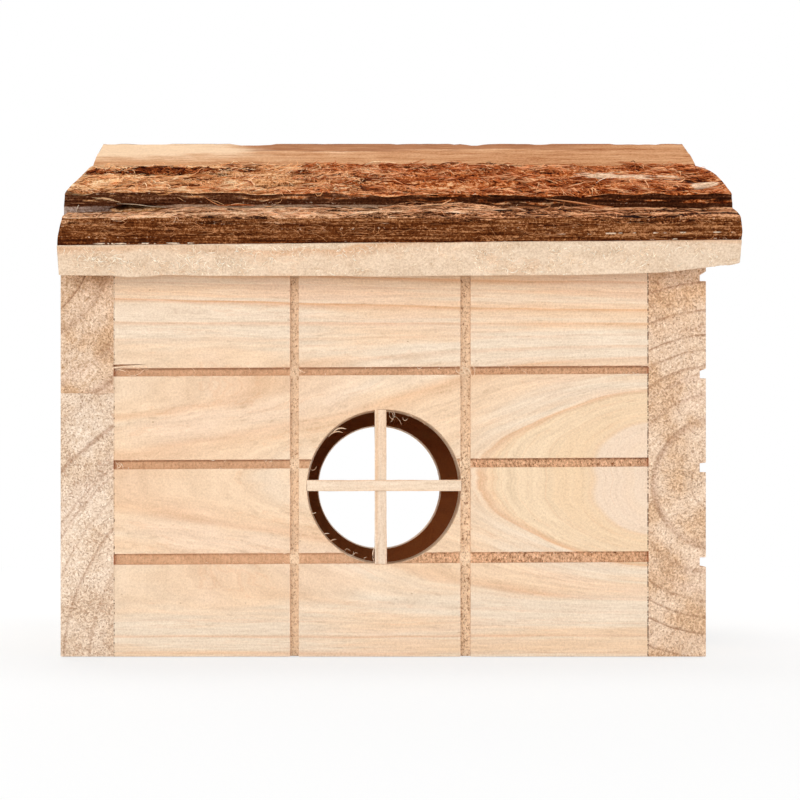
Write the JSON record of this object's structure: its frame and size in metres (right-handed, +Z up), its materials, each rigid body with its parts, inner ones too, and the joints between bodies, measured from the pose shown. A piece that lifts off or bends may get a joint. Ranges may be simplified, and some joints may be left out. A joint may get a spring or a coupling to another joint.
{
  "type": "wooden hamster house",
  "caption": "Rectangular pine hamster house with saw-grooved walls, round windows with crossed bars, an arched doorway and a lift-off gable roof faced with bark strips.",
  "frame": {"origin": "on the ground, below the middle of the whole house's box", "axes": "+X along the ridge towards the wall with the doorway, +Y towards the back wall, +Z up"},
  "size_m": [0.1516, 0.138, 0.1271],
  "materials": {
    "wall_pine": "planed pine, unfinished",
    "bar_wood": "split stick, raw",
    "roof_pine": "sawn pine, rough",
    "bark": "rough fibrous bark",
    "smooth_bark": "peeled inner bark",
    "brad_steel": "bright wire"
  },
  "bodies": {
    "house": {"left_wall_lower": "wall_pine", "left_wall_upper": "wall_pine", "right_wall": "wall_pine", "front_wall": "wall_pine", "back_wall": "wall_pine", "front_cross_bar": "bar_wood", "front_upright_bar": "bar_wood", "back_cross_bar": "bar_wood", "back_upright_bar": "bar_wood", "corner_brads": "brad_steel"},
    "roof": {"front_roof_board": "roof_pine", "back_roof_board": "roof_pine", "front_eave_bark": "bark", "front_middle_bark": "bark", "front_ridge_bark": "smooth_bark", "back_eave_bark": "bark", "back_middle_bark": "bark", "back_ridge_bark": "smooth_bark", "left_cleat": "roof_pine", "right_cleat": "roof_pine", "cleat_brads": "brad_steel"}
  },
  "joints": [
    {"name": "roof_lift", "type": "slide", "parent": "house", "child": "roof", "axis": [0, 0, 1], "range_m": [0, 0.06]}
  ]
}
